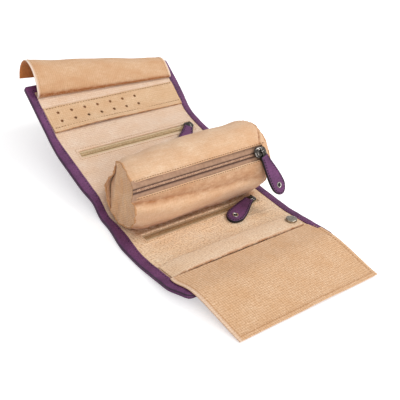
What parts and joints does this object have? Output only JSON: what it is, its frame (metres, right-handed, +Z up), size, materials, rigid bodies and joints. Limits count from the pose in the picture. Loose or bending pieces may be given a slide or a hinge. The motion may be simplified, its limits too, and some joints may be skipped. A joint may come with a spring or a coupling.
{
  "type": "jewelry roll",
  "caption": "Fold-up leather jewelry roll laid open, with zipped pockets, a round zipped pouch, an earring strip, a snap ring strap and covering flaps.",
  "frame": {"origin": "middle of the flat underside beneath the pouch", "axes": "+X across the roll, +Y along it towards the raised far end, +Z up from the table"},
  "size_m": [0.224, 0.4532, 0.1143],
  "materials": {
    "purple_leather": "fine-grained matt leather",
    "tan_suede": "short-napped suede",
    "interlining": "felted stiffener",
    "bag_cloth": "plain woven cloth",
    "zip_tape": "herringbone tape",
    "zip_coil": "nylon coil",
    "gunmetal": "dark plated",
    "nickel": "polished nickel",
    "pewter": "aged pewter"
  },
  "bodies": {
    "centre": {"centre_shell": "purple_leather", "centre_interlining": "interlining", "centre_lining": "tan_suede", "centre_border_left": "purple_leather", "centre_border_right": "purple_leather", "pocket_two_bag": "bag_cloth", "zip_two_tape": "zip_tape", "zip_two_coil": "zip_coil", "pouch_body": "tan_suede", "pouch_end_left": "tan_suede", "pouch_end_right": "tan_suede", "pouch_zip_tape": "zip_tape", "pouch_zip_coil": "zip_coil"},
    "near_panel": {"near_shell": "purple_leather", "near_interlining": "interlining", "near_lining": "tan_suede", "near_border_left": "purple_leather", "near_border_right": "purple_leather", "near_border_end": "purple_leather", "snap_stud": "pewter"},
    "ring_bar": {"ring_strap": "tan_suede", "snap_cap": "pewter", "snap_socket": "pewter"},
    "near_cover": {"near_flap": "tan_suede"},
    "mid_panel": {"mid_shell": "purple_leather", "mid_interlining": "interlining", "mid_lining": "tan_suede", "mid_border_left": "purple_leather", "mid_border_right": "purple_leather", "pocket_one_bag": "bag_cloth", "zip_one_tape": "zip_tape", "zip_one_coil": "zip_coil"},
    "ear_panel": {"ear_shell": "purple_leather", "ear_interlining": "interlining", "ear_lining": "tan_suede", "ear_border_left": "purple_leather", "ear_border_right": "purple_leather", "ear_border_end": "purple_leather", "earring_strip": "tan_suede"},
    "far_cover": {"far_flap": "tan_suede"},
    "zip_one_runner": {"zip_one_slider": "gunmetal"},
    "zip_one_tab": {"zip_one_pull_link": "gunmetal", "zip_one_pull": "purple_leather", "zip_one_pull_rivet": "nickel"},
    "zip_two_runner": {"zip_two_slider": "gunmetal"},
    "zip_two_tab": {"zip_two_pull_link": "gunmetal", "zip_two_pull": "purple_leather", "zip_two_pull_rivet": "nickel"},
    "pouch_zip_runner": {"pouch_zip_slider": "gunmetal"},
    "pouch_zip_tab": {"pouch_zip_pull_link": "gunmetal", "pouch_zip_pull": "purple_leather", "pouch_zip_pull_rivet": "nickel"}
  },
  "joints": [
    {"name": "fold_near", "type": "hinge", "parent": "centre", "child": "near_panel", "pos_m": [0, -0.044, 0.0069], "axis": [-1, 0, 0], "range_deg": [-7.5, 55]},
    {"name": "fold_mid", "type": "hinge", "parent": "centre", "child": "mid_panel", "pos_m": [0, 0.07492, 0.02321], "axis": [1, 0, 0], "range_deg": [-4, 60]},
    {"name": "fold_ear", "type": "hinge", "parent": "mid_panel", "child": "ear_panel", "pos_m": [0, 0.16516, 0.04571], "axis": [1, 0, 0], "range_deg": [-15, 60]},
    {"name": "near_flap_hinge", "type": "hinge", "parent": "near_panel", "child": "near_cover", "pos_m": [0, -0.08761, 0.01274], "axis": [1, 0, 0], "range_deg": [-60, 0]},
    {"name": "far_flap_hinge", "type": "hinge", "parent": "ear_panel", "child": "far_cover", "pos_m": [0, 0.21412, 0.0749], "axis": [1, 0, 0], "range_deg": [0, 55]},
    {"name": "ring_strap_hinge", "type": "hinge", "parent": "near_panel", "child": "ring_bar", "pos_m": [-0.095, -0.07287, 0.00979], "axis": [0, 0.9914, -0.1305], "range_deg": [-90, 0]},
    {"name": "zip_one_slide", "type": "slide", "parent": "mid_panel", "child": "zip_one_runner", "axis": [1, 0, 0], "range_m": [-0.12, 0]},
    {"name": "zip_one_pull_hinge", "type": "hinge", "parent": "zip_one_runner", "child": "zip_one_tab", "pos_m": [0.081, 0.13296, 0.04258], "axis": [0.7431, -0.6493, -0.1619], "range_deg": [-100, 0]},
    {"name": "zip_two_slide", "type": "slide", "parent": "centre", "child": "zip_two_runner", "axis": [1, 0, 0], "range_m": [-0.11, 0]},
    {"name": "zip_two_pull_hinge", "type": "hinge", "parent": "zip_two_runner", "child": "zip_two_tab", "pos_m": [0.076, -0.008, 0.01165], "axis": [0.4226, -0.9063, 0], "range_deg": [-28, 0]},
    {"name": "pouch_zip_slide", "type": "slide", "parent": "centre", "child": "pouch_zip_runner", "axis": [1, 0, 0], "range_m": [-0.15, 0]},
    {"name": "pouch_zip_pull_hinge", "type": "hinge", "parent": "pouch_zip_runner", "child": "pouch_zip_tab", "pos_m": [0.074, -0.01258, 0.08019], "axis": [0.9511, 0.2003, 0.2353], "range_deg": [-100, 0]}
  ]
}
